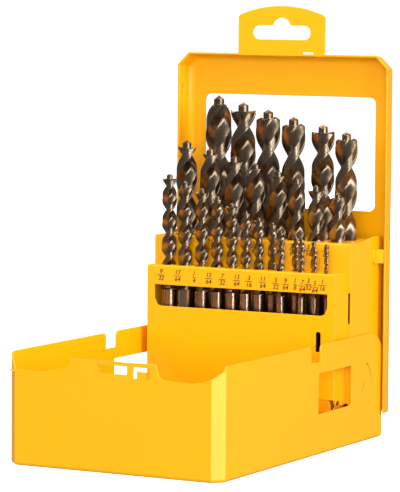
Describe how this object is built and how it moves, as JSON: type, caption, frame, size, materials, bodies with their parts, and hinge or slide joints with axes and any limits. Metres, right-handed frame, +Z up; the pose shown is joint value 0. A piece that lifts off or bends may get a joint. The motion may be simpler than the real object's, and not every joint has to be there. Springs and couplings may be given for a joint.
{
  "type": "drill bit case",
  "caption": "Folding sheet-steel drill bit case, opened: a shallow tray with a stepped rack of fractional twist drills standing up from it and a back frame with a hanging tab.",
  "frame": {"origin": "centre of the opened case's bounding box, at the height of the surface the tray lies on", "axes": "+Z up, +Y from the tray's open front end towards the standing rack and back frame, +X to the right seen from the front, across the case"},
  "size_m": [0.1134, 0.1724, 0.2052],
  "materials": {
    "yellow_powder": "satin yellow powder coat on thin sheet steel",
    "bronze_drill": "ground high-speed steel with a dark bronze oxide"
  },
  "bodies": {
    "tray": {"tray": "yellow_powder", "hinge_stub_left": "yellow_powder", "hinge_stub_right": "yellow_powder"},
    "rack_frame": {"back_frame": "yellow_powder", "hang_tab": "yellow_powder", "latch_catch": "yellow_powder", "rack_rear_shelf": "yellow_powder", "rack_riser": "yellow_powder", "rack_side_left": "yellow_powder", "rack_side_right": "yellow_powder", "rack_front_step": "yellow_powder", "bit_rest_cradle": "yellow_powder", "short_bit_stair": "yellow_powder", "link_tongue_left": "yellow_powder", "link_tongue_right": "yellow_powder"},
    "drill_1_2": {"bit_1_2": "bronze_drill"},
    "drill_31_64": {"bit_31_64": "bronze_drill"},
    "drill_15_32": {"bit_15_32": "bronze_drill"},
    "drill_29_64": {"bit_29_64": "bronze_drill"},
    "drill_7_16": {"bit_7_16": "bronze_drill"},
    "drill_27_64": {"bit_27_64": "bronze_drill"},
    "drill_13_32": {"bit_13_32": "bronze_drill"},
    "drill_25_64": {"bit_25_64": "bronze_drill"},
    "drill_3_8": {"bit_3_8": "bronze_drill"},
    "drill_23_64": {"bit_23_64": "bronze_drill"},
    "drill_11_32": {"bit_11_32": "bronze_drill"},
    "drill_21_64": {"bit_21_64": "bronze_drill"},
    "drill_5_16": {"bit_5_16": "bronze_drill"},
    "drill_19_64": {"bit_19_64": "bronze_drill"},
    "drill_9_32": {"bit_9_32": "bronze_drill"},
    "drill_17_64": {"bit_17_64": "bronze_drill"},
    "drill_1_4": {"bit_1_4": "bronze_drill"},
    "drill_15_64": {"bit_15_64": "bronze_drill"},
    "drill_7_32": {"bit_7_32": "bronze_drill"},
    "drill_13_64": {"bit_13_64": "bronze_drill"},
    "drill_3_16": {"bit_3_16": "bronze_drill"},
    "drill_11_64": {"bit_11_64": "bronze_drill"},
    "drill_5_32": {"bit_5_32": "bronze_drill"},
    "drill_9_64": {"bit_9_64": "bronze_drill"},
    "drill_1_8": {"bit_1_8": "bronze_drill"},
    "drill_7_64": {"bit_7_64": "bronze_drill"},
    "drill_3_32": {"bit_3_32": "bronze_drill"},
    "drill_5_64": {"bit_5_64": "bronze_drill"},
    "drill_1_16": {"bit_1_16": "bronze_drill"}
  },
  "joints": [
    {"name": "case_hinge", "type": "hinge", "parent": "tray", "child": "rack_frame", "pos_m": [0, 0.06292, 0.0308], "axis": [-1, 0, 0], "range_deg": [-90, 0]},
    {"name": "lift_1_2", "type": "slide", "parent": "rack_frame", "child": "drill_1_2", "axis": [0, 0, 1], "range_m": [0, 0.088]},
    {"name": "lift_31_64", "type": "slide", "parent": "rack_frame", "child": "drill_31_64", "axis": [0, 0, 1], "range_m": [0, 0.088]},
    {"name": "lift_15_32", "type": "slide", "parent": "rack_frame", "child": "drill_15_32", "axis": [0, 0, 1], "range_m": [0, 0.088]},
    {"name": "lift_29_64", "type": "slide", "parent": "rack_frame", "child": "drill_29_64", "axis": [0, 0, 1], "range_m": [0, 0.088]},
    {"name": "lift_7_16", "type": "slide", "parent": "rack_frame", "child": "drill_7_16", "axis": [0, 0, 1], "range_m": [0, 0.088]},
    {"name": "lift_27_64", "type": "slide", "parent": "rack_frame", "child": "drill_27_64", "axis": [0, 0, 1], "range_m": [0, 0.088]},
    {"name": "lift_13_32", "type": "slide", "parent": "rack_frame", "child": "drill_13_32", "axis": [0, 0, 1], "range_m": [0, 0.0907]},
    {"name": "lift_25_64", "type": "slide", "parent": "rack_frame", "child": "drill_25_64", "axis": [0, 0, 1], "range_m": [0, 0.0907]},
    {"name": "lift_3_8", "type": "slide", "parent": "rack_frame", "child": "drill_3_8", "axis": [0, 0, 1], "range_m": [0, 0.0907]},
    {"name": "lift_23_64", "type": "slide", "parent": "rack_frame", "child": "drill_23_64", "axis": [0, 0, 1], "range_m": [0, 0.0907]},
    {"name": "lift_11_32", "type": "slide", "parent": "rack_frame", "child": "drill_11_32", "axis": [0, 0, 1], "range_m": [0, 0.0907]},
    {"name": "lift_21_64", "type": "slide", "parent": "rack_frame", "child": "drill_21_64", "axis": [0, 0, 1], "range_m": [0, 0.0907]},
    {"name": "lift_5_16", "type": "slide", "parent": "rack_frame", "child": "drill_5_16", "axis": [0, 0, 1], "range_m": [0, 0.0907]},
    {"name": "lift_19_64", "type": "slide", "parent": "rack_frame", "child": "drill_19_64", "axis": [0, 0, 1], "range_m": [0, 0.0907]},
    {"name": "lift_9_32", "type": "slide", "parent": "rack_frame", "child": "drill_9_32", "axis": [0, 0, 1], "range_m": [0, 0.0673]},
    {"name": "lift_17_64", "type": "slide", "parent": "rack_frame", "child": "drill_17_64", "axis": [0, 0, 1], "range_m": [0, 0.0673]},
    {"name": "lift_1_4", "type": "slide", "parent": "rack_frame", "child": "drill_1_4", "axis": [0, 0, 1], "range_m": [0, 0.0673]},
    {"name": "lift_15_64", "type": "slide", "parent": "rack_frame", "child": "drill_15_64", "axis": [0, 0, 1], "range_m": [0, 0.0673]},
    {"name": "lift_7_32", "type": "slide", "parent": "rack_frame", "child": "drill_7_32", "axis": [0, 0, 1], "range_m": [0, 0.0673]},
    {"name": "lift_13_64", "type": "slide", "parent": "rack_frame", "child": "drill_13_64", "axis": [0, 0, 1], "range_m": [0, 0.0673]},
    {"name": "lift_3_16", "type": "slide", "parent": "rack_frame", "child": "drill_3_16", "axis": [0, 0, 1], "range_m": [0, 0.0673]},
    {"name": "lift_11_64", "type": "slide", "parent": "rack_frame", "child": "drill_11_64", "axis": [0, 0, 1], "range_m": [0, 0.0629]},
    {"name": "lift_5_32", "type": "slide", "parent": "rack_frame", "child": "drill_5_32", "axis": [0, 0, 1], "range_m": [0, 0.0629]},
    {"name": "lift_9_64", "type": "slide", "parent": "rack_frame", "child": "drill_9_64", "axis": [0, 0, 1], "range_m": [0, 0.0592]},
    {"name": "lift_1_8", "type": "slide", "parent": "rack_frame", "child": "drill_1_8", "axis": [0, 0, 1], "range_m": [0, 0.0566]},
    {"name": "lift_7_64", "type": "slide", "parent": "rack_frame", "child": "drill_7_64", "axis": [0, 0, 1], "range_m": [0, 0.0551]},
    {"name": "lift_3_32", "type": "slide", "parent": "rack_frame", "child": "drill_3_32", "axis": [0, 0, 1], "range_m": [0, 0.0479]},
    {"name": "lift_5_64", "type": "slide", "parent": "rack_frame", "child": "drill_5_64", "axis": [0, 0, 1], "range_m": [0, 0.0403]},
    {"name": "lift_1_16", "type": "slide", "parent": "rack_frame", "child": "drill_1_16", "axis": [0, 0, 1], "range_m": [0, 0.0393]}
  ]
}
